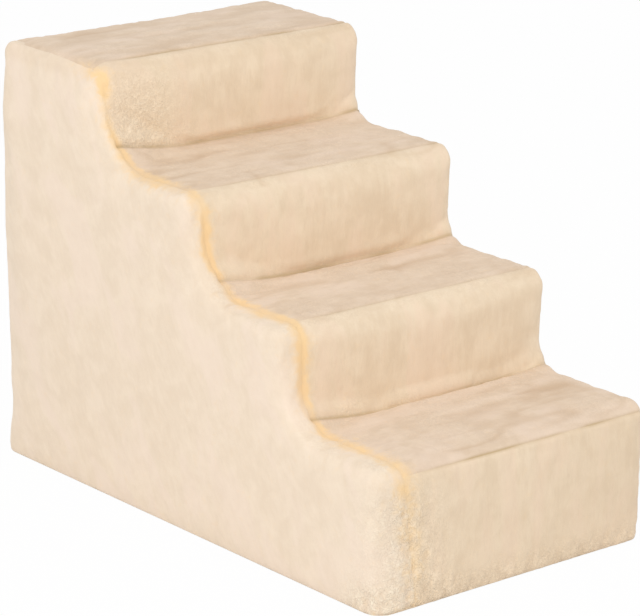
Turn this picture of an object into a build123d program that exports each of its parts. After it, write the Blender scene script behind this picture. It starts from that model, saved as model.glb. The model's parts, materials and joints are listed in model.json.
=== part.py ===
from build123d import *
from math import atan2, cos, floor, pi, radians, sin, tan
import os

# Pet stairs: a glued foam core in a sewn plush cover with a zip across the lower back.
# Frame: +X across the stairs, +Y from the lowest step to the back, +Z up.
# Origin: centre of the rectangle that the stairs stand on.

# Driving dimensions, in millimetres

stair_width = 400.0
first_rise = 168.0
step_rise = 118.0
tread_1_depth = 172.0
tread_2_depth = 167.0
tread_3_depth = 177.0
top_tread_depth = 188.0

cover_thickness = 4.0
foam_ease = 0.3

# How the foam rounds the cover
nosing_radius = 20.0
back_top_radius = 14.0
base_edge_radius = 10.0
side_edge_radius = 8.0
riser_lean = 4.0

# The cover bridges each inner corner, most at its side seams and least at mid-width: the
# radii as shares of a rise, and how far each side's bridge fades across the stairs
left_bridge_share = 0.69
right_bridge_share = 0.32
middle_bridge_share = 0.07
left_bridge_fade = 150.0
right_bridge_fade = 100.0

# Straight runs that make up each bridge: an odd number, so the seam crosses one in the middle
bridge_runs = 13

# Where the panels are sewn together
side_seam_inset = 12.0
base_seam_inset = 14.0
nosing_seam_setback = 20.0
first_nosing_seam_drop = 8.0

# The zip's height on the back, and how deep its tapes lie in the cover
zip_height = 62.0
zip_sunk = 1.2
zip_end_margin = 14.0
zip_running_clearance = 0.3

# The zip's two woven tapes
tape_width = 15.0
tape_thickness = 0.6
tape_parting = 3.2
tape_end_gap = 0.3

# One moulded tooth: reaches are from the chain's centre line
tooth_pitch = 4.4
tooth_thickness = 2.6
tooth_head_width = 2.3
tooth_neck_width = 1.1
tooth_tip_reach = 1.2
tooth_head_reach = 0.65
tooth_root_reach = 3.2

# The cast slider
slider_length = 13.0
slider_flange = 1.1
slider_outer_wing = 1.1
slider_inner_wing = 0.9
slider_tape_clearance = 0.45
slider_side_clearance = 0.7
slider_nose_taper = 1.4
slider_corner_radius = 0.6
divider_width = 2.3
divider_length = 3.6

# The bail on the slider, and the pull tab that swings in it
bail_length = 9.2
bail_width = 1.8
bail_bar = 0.9
pull_length = 24.0
pull_width = 7.0
pull_tip_width = 8.4
pull_thickness = 1.2
pull_pivot_diameter = 1.4
pull_arm_clearance = 0.4
pull_eye_clearance = 0.5
pull_hole_length = 9.0
pull_hole_width = 3.2
pull_tip_radius = 1.1

# The clips at the two ends of the chain
stop_length = 2.2
stop_wall = 0.5

# Sizes that follow from the driving dimensions

tread_depths = [tread_1_depth, tread_2_depth, tread_3_depth, top_tread_depth]
rises = [first_rise, step_rise, step_rise, step_rise]
step_count = len(rises)
total_depth = sum(tread_depths)
total_height = sum(rises)
half_width = stair_width / 2
half_depth = total_depth / 2
riser_y = [sum(tread_depths[:step]) - half_depth for step in range(step_count)]
tread_z = [sum(rises[: step + 1]) for step in range(step_count)]
foam_inset = cover_thickness + foam_ease
side_seam_x = half_width - side_seam_inset
base_seam_y = half_depth - base_seam_inset
left_bridge_radius = step_rise * left_bridge_share
right_bridge_radius = step_rise * right_bridge_share
middle_bridge_radius = step_rise * middle_bridge_share

# Cutters reach past the cover by this much, and panels are parted this deep behind it
overrun = side_seam_inset + nosing_radius
part_depth = step_rise / 2

os.makedirs("parts", exist_ok=True)


def keep(part, name):
    """Label a finished piece and write it to its own file."""
    part.label = name
    export_step(part, f"parts/{name}.step")


# The stepped outline, seen from the side


def foot_y(step):
    """Y of the foot of a riser: every riser but the first leans in towards its foot."""
    return riser_y[step] + (riser_lean if step else 0)


def bridge_points(step, inset, bridge_radius):
    """Points along the bridge between a tread and the riser behind it, from the tread up."""
    radius = bridge_radius + inset
    turn = pi / 2 + atan2(riser_lean, step_rise)
    centre_y = foot_y(step) + inset - radius * tan(turn / 2)
    centre_z = tread_z[step - 1] - inset + radius
    angles = [turn * run / bridge_runs for run in range(bridge_runs + 1)]
    return [(centre_y + radius * sin(a), centre_z - radius * cos(a)) for a in angles]


def inner_corner(step, inset):
    """Where a tread would meet the riser behind it without a bridge."""
    return (foot_y(step) + inset, tread_z[step - 1] - inset)


def outline(inset, bridge_radius):
    """Corners with their radii, from the foot of the first riser up and round."""
    rounded = [((foot_y(0) + inset, inset), base_edge_radius - inset)]
    for step in range(step_count):
        if step and bridge_radius:
            rounded += [(point, 0) for point in bridge_points(step, inset, bridge_radius)]
        elif step:
            rounded.append((inner_corner(step, inset), 0))
        rounded.append(((riser_y[step] + inset, tread_z[step] - inset), nosing_radius - inset))
    rounded.append(((half_depth - inset, total_height - inset), back_top_radius - inset))
    rounded.append(((half_depth - inset, inset), base_edge_radius - inset))
    return rounded


def cover_slice(x, inset, bridge_radius=0):
    """A face across the stairs at x, inset from the outside of the cover."""
    corners, radii = zip(*outline(inset, bridge_radius))
    with BuildSketch(Plane.YZ.offset(x)) as slice_at_x:
        with BuildLine():
            FilletPolyline(*corners, radius=radii, close=True)
        make_face()
    return slice_at_x.sketch


# How the bridge fades from each side seam to mid-width: after each of these shares of the
# fade, this share of the extra radius is left
fade_shares = [(0, 1), (0.25, 0.64), (0.5, 0.35), (0.75, 0.13), (1, 0)]


def bridge_stations():
    """Places across the stairs, from seam to seam, with the bridge radius at each."""
    left = []
    right = []
    for fade_share, extra_share in fade_shares:
        left_x = left_bridge_fade * fade_share - side_seam_x
        right_x = side_seam_x - right_bridge_fade * fade_share
        left_extra = (left_bridge_radius - middle_bridge_radius) * extra_share
        right_extra = (right_bridge_radius - middle_bridge_radius) * extra_share
        left.append((left_x, middle_bridge_radius + left_extra))
        right.append((right_x, middle_bridge_radius + right_extra))
    return left + right[::-1]


# Slices through a side's rounded edge, as angles from the side face
edge_angles = [0, 45, 90]


def edge_slices(side, bridge_radius):
    """Slices through one side's rounded edge, from the side face inwards."""
    slices = []
    for angle in edge_angles:
        inset = side_edge_radius * (1 - sin(radians(angle)))
        x = half_width - side_edge_radius * (1 - cos(radians(angle)))
        slices.append(cover_slice(side * x, inset, bridge_radius))
    return slices


def bridge_filling(step, inset, near, far):
    """The flat-sided solid that fills one inner corner between two places across the stairs."""
    ends = []
    for x, bridge_radius in (near, far):
        corners = [inner_corner(step, inset), *bridge_points(step, inset, bridge_radius)]
        ends.append([Vector(x, y, z) for y, z in corners])
    near_end, far_end = ends
    outlines = [near_end, far_end]
    for index, corner in enumerate(near_end):
        outlines.append([near_end[index - 1], corner, far_end[index], far_end[index - 1]])
    return Solid(Shell([Face(Wire.make_polygon(corners)) for corners in outlines]))


def between_side_seams(inset):
    """All that lies inside the cover's outline between the side seams."""
    stations = bridge_stations()
    fillings = []
    for near, far in zip(stations, stations[1:]):
        fillings += [bridge_filling(step, inset, near, far) for step in range(1, step_count)]
    with BuildPart() as filled:
        extrude(cover_slice(-side_seam_x, inset), amount=2 * side_seam_x)
        add(fillings)
    return filled.part


def cover_shell():
    """The whole cover before it is cut into panels: its outside less its inside."""
    side_reach = side_seam_inset - cover_thickness
    sides = [(-1, left_bridge_radius), (1, right_bridge_radius)]
    with BuildPart() as inside:
        add(between_side_seams(cover_thickness))
        for side, bridge_radius in sides:
            seam_slice = cover_slice(side * side_seam_x, cover_thickness, bridge_radius)
            extrude(seam_slice, amount=side * side_reach)
    with BuildPart() as outside:
        add(between_side_seams(0))
        for side, bridge_radius in sides:
            seam_slice = cover_slice(side * side_seam_x, 0, bridge_radius)
            loft([*edge_slices(side, bridge_radius), seam_slice], ruled=True)
        add(inside.part, mode=Mode.SUBTRACT)
    return outside.part


# The foam core: four slabs, each one rise thick, glued in a stack


def build_foam():
    """Cut each slab to the profile that the cover rounds it to."""
    slab_bottom = foam_inset
    for step in range(step_count):
        slab_top = tread_z[step] - foam_inset
        lowest = step == 0
        highest = step == step_count - 1
        base_radius = base_edge_radius - foam_inset if lowest else 0
        back_radius = back_top_radius - foam_inset if highest else 0
        corners = [
            (foot_y(step) + foam_inset, slab_bottom),
            (riser_y[step] + foam_inset, slab_top),
            (half_depth - foam_inset, slab_top),
            (half_depth - foam_inset, slab_bottom),
        ]
        radii = [base_radius, nosing_radius - foam_inset, back_radius, base_radius]
        with BuildPart() as foam_slab:
            with BuildSketch(Plane.YZ):
                with BuildLine():
                    FilletPolyline(*corners, radius=radii, close=True)
                make_face()
            extrude(amount=half_width - foam_inset, both=True)
        keep(foam_slab.part, f"foam_slab_{step + 1}")
        slab_bottom = slab_top


# The cover's panels: each is the part of the shell that lies between its seams


def side_panel(shell, side):
    """All of the cover beyond one side seam, with its rounded edge."""
    kept_half = Keep.TOP if side > 0 else Keep.BOTTOM
    with BuildPart() as panel:
        add(shell)
        split(bisect_by=Plane.YZ.offset(side * side_seam_x), keep=kept_half)
    return panel.part


def seam_to_seam(shell, corners):
    """The part of the cover between the side seams and inside a polygon seen from the side."""
    with BuildPart() as panel:
        add(shell)
        with BuildSketch(Plane.YZ):
            with BuildLine():
                Polyline(*corners, close=True)
            make_face()
        extrude(amount=side_seam_x, both=True, mode=Mode.INTERSECT)
    return panel.part


def crease(step):
    """The seam at the foot of a riser: a cut from inside the stairs out into the open."""
    corner_y = foot_y(step)
    corner_z = tread_z[step - 1]
    inside = (corner_y + part_depth, corner_z - part_depth)
    return inside, (corner_y - part_depth, corner_z + part_depth)


def nosing_seam(step):
    """The seam by a nosing, from inside out: on the riser of step one, else on the tread."""
    if step == 0:
        seam_z = tread_z[0] - first_nosing_seam_drop
        return (riser_y[0] + part_depth, seam_z), (riser_y[0] - overrun, seam_z)
    seam_y = riser_y[step] + nosing_seam_setback
    return (seam_y, tread_z[step] - part_depth), (seam_y, tread_z[step] + overrun)


def back_top_seam():
    """The seam along the top edge of the back, from inside out."""
    inside = (half_depth - part_depth, total_height - part_depth)
    return inside, (half_depth + overrun, total_height + overrun)


def base_seam(side):
    """The seam under the front or the back edge, from inside out."""
    return (side * base_seam_y, part_depth), (side * base_seam_y, -overrun)


def build_treads(shell):
    """Each tread runs from its nosing seam back to the foot of the next riser."""
    for step in range(step_count):
        front_in, front_out = nosing_seam(step)
        above = [(riser_y[step] - overrun, tread_z[step] + overrun)] if step == 0 else []
        back_in, back_out = crease(step + 1) if step + 1 < step_count else back_top_seam()
        panel = seam_to_seam(shell, [front_in, front_out, *above, back_out, back_in])
        keep(panel, f"tread_panel_{step + 1}")


def build_risers(shell):
    """Each riser runs from its foot up to its nosing seam."""
    for step in range(step_count):
        foot_in, foot_out = crease(step) if step else base_seam(-1)
        head_in, head_out = nosing_seam(step)
        front_y = riser_y[step] - overrun
        front = [(front_y, tread_z[step] + overrun)] if step else [(front_y, -overrun)]
        panel = seam_to_seam(shell, [foot_in, foot_out, *front, head_out, head_in])
        keep(panel, f"riser_panel_{step + 1}")


def build_sides_and_base(shell):
    """The two stepped sides, and the flat non-slip fabric under the stairs."""
    keep(side_panel(shell, -1), "left_side_panel")
    keep(side_panel(shell, 1), "right_side_panel")
    keep(seam_to_seam(shell, [*base_seam(-1), *base_seam(1)[::-1]]), "base_panel")


# The zip lies along X in an opening across the back

tape_y = half_depth - zip_sunk
tape_reach = tape_parting / 2
tooth_reach_y = tooth_thickness / 2
channel_reach_y = tooth_reach_y + zip_running_clearance
rear_channel_reach = tooth_root_reach + zip_running_clearance
mouth_channel_reach = rear_channel_reach + divider_width / 2
rear_reach = rear_channel_reach + slider_flange
mouth_reach = mouth_channel_reach + slider_flange
opening_reach = mouth_reach + slider_side_clearance
groove_reach = tape_reach + tape_width + tape_end_gap

chain_end_x = side_seam_x - zip_end_margin
slider_mouth_x = chain_end_x - stop_length - zip_running_clearance
slider_x = slider_mouth_x - slider_length / 2
last_tooth_x = slider_mouth_x - divider_length - zip_running_clearance - tooth_head_width / 2
first_tooth_x = -chain_end_x + stop_length + zip_running_clearance + tooth_head_width / 2
half_pitch = tooth_pitch / 2
tooth_places = floor((last_tooth_x - first_tooth_x) / half_pitch) + 1
wing_y = tape_y + channel_reach_y + slider_outer_wing
pivot_y = wing_y + pull_pivot_diameter / 2 + zip_running_clearance


def zip_plane(y):
    """A drawing plane across the back at y: its own X is the stairs' X, its own Y points down."""
    return Plane(origin=(0, y, zip_height), x_dir=(1, 0, 0), z_dir=(0, 1, 0))


def build_back(shell):
    """The back above and below the zip, each with its edge folded over a tape."""
    back_y = half_depth + overrun
    upper_z = zip_height + opening_reach
    lower_z = zip_height - opening_reach
    fold_y = half_depth - part_depth
    upper = [(fold_y, upper_z), (back_y, upper_z), *back_top_seam()[::-1]]
    lower = [(base_seam_y, lower_z), (base_seam_y, -overrun), (back_y, -overrun), (back_y, lower_z)]
    groove = (2 * side_seam_x, tape_thickness, 2 * groove_reach)
    for name, corners in (("back_panel", upper), ("back_hem_strip", lower)):
        with BuildPart() as panel:
            add(seam_to_seam(shell, corners))
            with Locations((0, tape_y, zip_height)):
                Box(*groove, mode=Mode.SUBTRACT)
        keep(panel.part, name)


def tape_place(side):
    """The middle of the tape above the chain's centre line, side 1, or below it, side -1."""
    return (0, tape_y, zip_height + side * (tape_reach + tape_width / 2))


# Both tapes run from side panel to side panel, in the grooves of the two folded edges
tape_size = (2 * (side_seam_x - tape_end_gap), tape_thickness, tape_width)


def build_tapes():
    """Two flat tapes, one above and one below the chain's centre line."""
    for name, side in (("zip_tape_upper", 1), ("zip_tape_lower", -1)):
        with BuildPart() as tape:
            with Locations(tape_place(side)):
                Box(*tape_size)
        keep(tape.part, name)


def tooth_outline(side):
    """Corners of one tooth seen from behind: a head that locks, a neck and a root."""
    half = [
        (tooth_neck_width / 2, -tooth_tip_reach),
        (tooth_head_width / 2, -tooth_head_reach),
        (tooth_neck_width / 2, tooth_head_reach),
        (tooth_head_width / 2, tooth_root_reach),
    ]
    outline = half + [(-x, reach) for x, reach in half[::-1]]
    return [(x, -side * reach) for x, reach in outline]


def build_teeth():
    """Heads from the two tapes alternate at half the pitch, each forked over its tape's edge."""
    for name, side, first in (("zip_teeth_lower", -1, 0), ("zip_teeth_upper", 1, 1)):
        with BuildPart() as tooth:
            with BuildSketch(zip_plane(tape_y - tooth_reach_y)):
                Polygon(*tooth_outline(side), align=None)
            extrude(amount=tooth_thickness)
            with Locations(tape_place(side)):
                Box(*tape_size, mode=Mode.SUBTRACT)
        places = [(first_tooth_x + half_pitch * n, 0, 0) for n in range(first, tooth_places, 2)]
        with BuildPart() as teeth:
            with Locations(*places):
                add(tooth.part)
        keep(teeth.part, name)


def build_stops():
    """A clip on each tape past the closed end, and one block across both at the other end."""
    clip_low = tape_reach - stop_wall
    clip_height = tooth_root_reach - clip_low
    with BuildPart() as top_stops:
        for side in (1, -1):
            clip_z = zip_height + side * (clip_low + clip_height / 2)
            with Locations((chain_end_x - stop_length / 2, tape_y, clip_z)):
                Box(stop_length, tooth_thickness, clip_height)
        with Locations(tape_place(1), tape_place(-1)):
            Box(*tape_size, mode=Mode.SUBTRACT)
    keep(top_stops.part, "zip_top_stops")

    with BuildPart() as bottom_stop:
        with Locations((stop_length / 2 - chain_end_x, tape_y, zip_height)):
            Box(stop_length, tooth_thickness, 2 * tooth_root_reach)
        with Locations(tape_place(1), tape_place(-1)):
            Box(*tape_size, mode=Mode.SUBTRACT)
    keep(bottom_stop.part, "zip_bottom_stop")


# Where the slider's sides turn, as shares of its length from its middle
shoulder_share = -0.18
divider_shoulder_share = 0.36


def slider_outline(rear, mouth):
    """Both sides of an outline that widens from the rear to the mouth, with a tapered nose."""
    half = [
        (-slider_length / 2, rear),
        (slider_length * shoulder_share, rear),
        (slider_length / 2 - slider_nose_taper, mouth),
        (slider_length / 2, mouth - slider_nose_taper),
    ]
    return half + [(x, -reach) for x, reach in half[::-1]]


def build_slider():
    """Two wings with flanges round the chain, joined by the divider, and a bail on the outside."""
    slider_plane = zip_plane(tape_y)
    gap_reach_y = tape_thickness / 2 + slider_tape_clearance
    pivot_hole = pull_pivot_diameter + 2 * zip_running_clearance
    divider_back = slider_length / 2 - divider_length
    divider_shoulder = slider_length * divider_shoulder_share
    divider_reach = divider_width / 2
    divider_corners = [
        (divider_back, 0),
        (divider_shoulder, divider_reach),
        (slider_length / 2, divider_reach / 2),
        (slider_length / 2, -divider_reach / 2),
        (divider_shoulder, -divider_reach),
    ]
    with BuildPart() as zip_slider:
        with BuildSketch(slider_plane.offset(-channel_reach_y - slider_inner_wing)):
            with Locations((slider_x, 0)):
                Polygon(*slider_outline(rear_reach, mouth_reach), align=None)
        extrude(amount=slider_inner_wing + 2 * channel_reach_y + slider_outer_wing)
        fillet(zip_slider.edges().filter_by(Axis.Y), radius=slider_corner_radius)
        with BuildSketch(slider_plane):
            with Locations((slider_x, 0)):
                Polygon(*slider_outline(rear_channel_reach, mouth_channel_reach), align=None)
        extrude(amount=channel_reach_y, both=True, mode=Mode.SUBTRACT)
        with Locations((slider_x, tape_y, zip_height)):
            Box(slider_length + slider_flange, 2 * gap_reach_y, 2 * opening_reach, mode=Mode.SUBTRACT)
        with BuildSketch(slider_plane):
            with Locations((slider_x, 0)):
                Polygon(*divider_corners, align=None)
        extrude(amount=channel_reach_y, both=True)
        with BuildSketch(Plane.XY.offset(zip_height)):
            with Locations((slider_x, wing_y + (pivot_hole + bail_bar) / 2)):
                RectangleRounded(bail_length, pivot_hole + bail_bar, bail_bar)
            with Locations((slider_x, wing_y + bail_bar / 2)):
                Rectangle(bail_length, bail_bar)
            with Locations((slider_x, wing_y + pivot_hole / 2)):
                Rectangle(bail_length - 2 * bail_bar, pivot_hole, mode=Mode.SUBTRACT)
        extrude(amount=bail_width / 2, both=True)
    keep(zip_slider.part, "zip_slider")


def build_pull():
    """A flat tab that lies back along the chain, with an eye round the bail."""
    eye_half_width = bail_width / 2 + pull_arm_clearance
    eye_reach = bail_length / 2 + pull_eye_clearance
    hole_x = (eye_reach + pull_length) / 2
    tab_corners = [
        (0, pull_width / 2),
        (-eye_reach, pull_width / 2),
        (-pull_length, pull_tip_width / 2),
        (-pull_length, -pull_tip_width / 2),
        (-eye_reach, -pull_width / 2),
        (0, -pull_width / 2),
    ]
    with BuildPart() as zip_pull_tab:
        with BuildSketch(zip_plane(pivot_y)):
            with Locations((slider_x, 0)):
                Polygon(*tab_corners, align=None)
            with Locations((slider_x - eye_reach / 2, 0)):
                Rectangle(eye_reach, 2 * eye_half_width, mode=Mode.SUBTRACT)
            with Locations((slider_x - hole_x, 0)):
                SlotOverall(pull_hole_length, pull_hole_width, mode=Mode.SUBTRACT)
        extrude(amount=pull_thickness / 2, both=True)
        tip_edges = zip_pull_tab.edges().filter_by(Axis.Y).group_by(Axis.X)[0]
        fillet(tip_edges, radius=pull_tip_radius)
        with Locations((slider_x, pivot_y, zip_height)):
            Cylinder(pull_pivot_diameter / 2, pull_width)
    keep(zip_pull_tab.part, "zip_pull_tab")


def build_stairs():
    """Build and write every piece."""
    shell = cover_shell()
    build_foam()
    build_treads(shell)
    build_risers(shell)
    build_sides_and_base(shell)
    build_back(shell)
    build_tapes()
    build_teeth()
    build_stops()
    build_slider()
    build_pull()
    travel = slider_x - slider_length / 2 + chain_end_x - stop_length - zip_running_clearance
    print(f"slider at x {slider_x:.2f}, travel {travel:.2f}, pull pivot at y {pivot_y:.2f}")


build_stairs()
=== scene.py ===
import json
import logging
import math
from collections.abc import Iterator
from contextlib import contextmanager
from dataclasses import dataclass, field
from enum import Enum, IntEnum
from functools import cached_property
from itertools import product

import bpy
import numpy as np
from mathutils import Matrix, Vector
from mathutils.kdtree import KDTree

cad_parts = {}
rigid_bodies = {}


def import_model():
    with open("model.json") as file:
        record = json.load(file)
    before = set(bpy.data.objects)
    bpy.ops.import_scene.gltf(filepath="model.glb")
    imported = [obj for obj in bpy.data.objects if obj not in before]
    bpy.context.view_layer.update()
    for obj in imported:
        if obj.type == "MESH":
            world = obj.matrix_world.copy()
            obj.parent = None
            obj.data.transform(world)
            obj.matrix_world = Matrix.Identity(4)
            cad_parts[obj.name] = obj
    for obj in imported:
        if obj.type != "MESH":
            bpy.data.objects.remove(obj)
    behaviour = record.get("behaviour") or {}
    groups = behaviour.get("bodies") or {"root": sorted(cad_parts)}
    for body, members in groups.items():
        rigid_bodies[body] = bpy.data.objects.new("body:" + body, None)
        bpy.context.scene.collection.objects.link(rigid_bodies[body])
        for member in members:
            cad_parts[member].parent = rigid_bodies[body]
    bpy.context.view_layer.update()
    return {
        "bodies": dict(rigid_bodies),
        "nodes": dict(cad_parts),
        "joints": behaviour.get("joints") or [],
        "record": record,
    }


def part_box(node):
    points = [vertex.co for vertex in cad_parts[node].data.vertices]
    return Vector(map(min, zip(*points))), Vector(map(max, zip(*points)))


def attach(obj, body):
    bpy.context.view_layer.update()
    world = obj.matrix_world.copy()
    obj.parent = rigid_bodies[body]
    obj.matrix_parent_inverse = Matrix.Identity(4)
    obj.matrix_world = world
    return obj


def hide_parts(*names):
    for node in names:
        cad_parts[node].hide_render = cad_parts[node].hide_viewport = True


# Pet stairs: the looks of a foam block in a sewn plush cover, in metres.
# Frame: +X across the stairs, +Y from the lowest step to the back, +Z up.

log = logging.getLogger("pet_stairs")

Triple = tuple[float, float, float]
Colour = Triple
MILLIMETRE = 0.001
STEPS = 4
NOSING_TURN = 20 * MILLIMETRE
HASH_PRIMES = (73856093, 19349663, 83492791)
HASH_ROUNDS = ((13, 1540483477), (15, 2246822519))
HASH_WORD = 0xFFFFFFFF


class Part(IntEnum):
    """The pieces of cloth that the cover is sewn from, and the zip's opening."""

    LEFT_SIDE = 0
    RIGHT_SIDE = 1
    TREAD_1 = 2
    TREAD_2 = 3
    TREAD_3 = 4
    TREAD_4 = 5
    RISER_1 = 6
    RISER_2 = 7
    RISER_3 = 8
    RISER_4 = 9
    BACK = 10
    BACK_HEM = 11
    BASE = 12
    OPENING = 13


class Cloth(Enum):
    """The record's material slot that each kind of cloth takes its finish from."""

    SIDE = "side_plush"
    RISER = "riser_plush"
    TREAD = "tread_plush"
    BASE = "base_fabric"


PART_NODES = {
    Part.LEFT_SIDE: "left_side_panel",
    Part.RIGHT_SIDE: "right_side_panel",
    Part.BACK: "back_panel",
    Part.BACK_HEM: "back_hem_strip",
    Part.BASE: "base_panel",
} | {Part(Part.TREAD_1 + step): f"tread_panel_{step + 1}" for step in range(STEPS)} | {
    Part(Part.RISER_1 + step): f"riser_panel_{step + 1}" for step in range(STEPS)
}


def cloth_of(part: Part) -> Cloth:
    """Say which cloth a panel is cut from."""
    if part is Part.BASE:
        return Cloth.BASE
    if part < Part.TREAD_1 or part > Part.RISER_4:
        return Cloth.SIDE
    return Cloth.TREAD if part < Part.RISER_1 else Cloth.RISER


# Sizes


@dataclass
class StairSizes:
    """The stairs' sizes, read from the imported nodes."""

    half_width: float
    seam_x: float
    riser_y: list[float]
    tread_z: list[float]
    back_y: float
    base_seam_y: float
    nosing_seam_y: list[float]
    first_seam_z: float
    zip_low: float
    zip_high: float

    @classmethod
    def from_frame(cls) -> "StairSizes":
        """Read every size, in metres, from the boxes of the nodes."""
        slabs = [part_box(f"foam_slab_{step + 1}") for step in range(STEPS)]
        inset = slabs[0][0].z
        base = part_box("base_panel")[1]
        seams = [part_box(f"riser_panel_{step + 1}")[1].y for step in range(1, STEPS)]
        return cls(
            half_width=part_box("right_side_panel")[1].x,
            seam_x=base.x,
            riser_y=[slabs[0][0].y - inset] + [seam - NOSING_TURN for seam in seams],
            tread_z=[high.z + inset for low, high in slabs],
            back_y=slabs[0][1].y + inset,
            base_seam_y=base.y,
            nosing_seam_y=seams,
            first_seam_z=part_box("riser_panel_1")[1].z,
            zip_low=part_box("back_hem_strip")[1].z,
            zip_high=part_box("back_panel")[0].z,
        )


# Helpers


def deselect() -> None:
    """Leave nothing selected, in object mode."""
    if bpy.context.object and bpy.context.object.mode != "OBJECT":
        bpy.ops.object.mode_set(mode="OBJECT")
    bpy.ops.object.select_all(action="DESELECT")


def choose(piece: bpy.types.Object) -> None:
    """Select one object alone and make it active."""
    deselect()
    piece.select_set(True)
    bpy.context.view_layer.objects.active = piece


@contextmanager
def editing(piece: bpy.types.Object) -> Iterator[None]:
    """Choose one object and work on it in edit mode."""
    choose(piece)
    bpy.ops.object.mode_set(mode="EDIT")
    yield
    bpy.ops.object.mode_set(mode="OBJECT")


def apply_modifier(piece: bpy.types.Object, name: str, kind: str, **settings: object) -> None:
    """Add one modifier with its settings and apply it.

    Args:
        piece: The object to change.
        name: The modifier's name.
        kind: Blender's type of the modifier.
        settings: The modifier's properties.
    """
    choose(piece)
    modifier = piece.modifiers.new(name, kind)
    for key, value in settings.items():
        setattr(modifier, key, value)
    bpy.ops.object.modifier_apply(modifier=modifier.name)


def apply_place(piece: bpy.types.Object) -> None:
    """Put the object's place into its mesh."""
    choose(piece)
    bpy.ops.object.transform_apply(location=True, rotation=True, scale=True)


def rows_of(items: bpy.types.bpy_prop_collection, name: str) -> np.ndarray:
    """Read a vector of every vertex or face, as rows of x, y and z."""
    flat = np.empty(len(items) * 3)
    items.foreach_get(name, flat)
    return flat.reshape(-1, 3)


def numbers_of(items: bpy.types.bpy_prop_collection, name: str) -> np.ndarray:
    """Read a whole number of every face or corner."""
    numbers = np.empty(len(items), dtype=np.int32)
    items.foreach_get(name, numbers)
    return numbers


def points_of(piece: bpy.types.Object) -> np.ndarray:
    """Read the vertices' places."""
    return rows_of(piece.data.vertices, "co")


def move_points(piece: bpy.types.Object, points: np.ndarray) -> None:
    """Write the vertices' places."""
    piece.data.vertices.foreach_set("co", points.ravel())
    piece.data.update()


def keep_values(piece: bpy.types.Object, name: str, values: np.ndarray) -> None:
    """Store one number for each vertex as an attribute."""
    attribute = piece.data.attributes.new(name, "FLOAT", "POINT")
    attribute.data.foreach_set("value", values.astype(np.float32))


def repeat_along(piece: bpy.types.Object, axis: int, count: int, length: float) -> None:
    """Repeat a piece so that the copies span a length along one axis.

    Args:
        piece: The first of the row, at its lower end.
        axis: 0, 1 or 2 for x, y or z.
        count: How many there are in the row.
        length: From the first to the last.
    """
    offset = [0.0, 0.0, 0.0]
    offset[axis] = length / (count - 1)
    settings = {"use_relative_offset": False, "use_constant_offset": True}
    apply_modifier(piece, "row", "ARRAY", count=count, constant_offset_displace=offset, **settings)


def dress(piece: bpy.types.Object, finish: bpy.types.Material, slot: str, crease: float) -> None:
    """Give a piece of the stairs its finish and its body.

    Args:
        piece: The finished mesh.
        finish: Its one material.
        slot: The record's material slot; not used.
        crease: Edges sharper than this, in degrees, are shaded sharp.
    """
    piece.data.materials.clear()
    piece.data.materials.append(finish)
    choose(piece)
    bpy.ops.object.shade_smooth_by_angle(angle=math.radians(crease))
    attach(piece, "stairs")


def smooth_step(values: np.ndarray, low: float, high: float) -> np.ndarray:
    """Rise smoothly from 0 at low to 1 at high; falls where high is under low."""
    share = np.clip((values - low) / (high - low), 0, 1)
    return share * share * (3 - 2 * share)


def bump(values: np.ndarray, reach: float) -> np.ndarray:
    """A bell of height 1 at 0 that fades over its reach."""
    return np.exp(-((values / reach) ** 2))


class Lumps(Enum):
    """Every noise in the cloth: the size of its lumps, in metres, and its seed."""

    WIDE_WAVES = (0.075, 3)
    WAVES = (0.034, 4)
    TREAD_CRINKLES = ((0.03, 0.009, 0.009), 5)
    RISER_CRINKLES = ((0.012, 0.012, 0.034), 6)
    NAP = (0.0075, 7)
    FINE_NAP = (0.0042, 8)
    STRANDS = ((0.0065, 0.0065, 0.019), 9)
    WARM_PATCHES = (0.03, 10)
    THREAD_PATCHES = (0.035, 11)
    PLEATS = ((0.07, 0.022, 0.022), 12)
    PLEAT_PATCHES = (0.06, 13)
    TUFTS = (0.03, 14)
    WARM_WIDTH = (0.04, 15)
    FINE_STRANDS = ((0.0045, 0.0045, 0.011), 16)
    TANGLES = (0.04, 17)


def wool_noise(points: np.ndarray, lumps: Lumps) -> np.ndarray:
    """Smooth noise between about -1 and 1.

    Args:
        points: Rows of x, y and z.
        lumps: Which noise.

    Returns:
        One number for each point.
    """
    lengths, seed = lumps.value
    places = points / np.asarray(lengths) + seed * 17.31
    cells = np.floor(places).astype(np.int64)
    shares = places - cells
    eased = shares * shares * (3 - 2 * shares)
    total = np.zeros(len(points))
    for corner in product((0, 1), repeat=3):
        mixed = np.bitwise_xor.reduce((cells + corner) * HASH_PRIMES, axis=1)
        mixed = (mixed ^ seed * 2654435) & HASH_WORD
        for shift, factor in HASH_ROUNDS:
            mixed = ((mixed ^ (mixed >> shift)) * factor) & HASH_WORD
        weights = np.prod(np.where(corner, eased, 1 - eased), axis=1)
        total += weights * ((mixed ^ (mixed >> 16)) / 0x7FFFFFFF - 1)
    return total


# Shader maths


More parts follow.
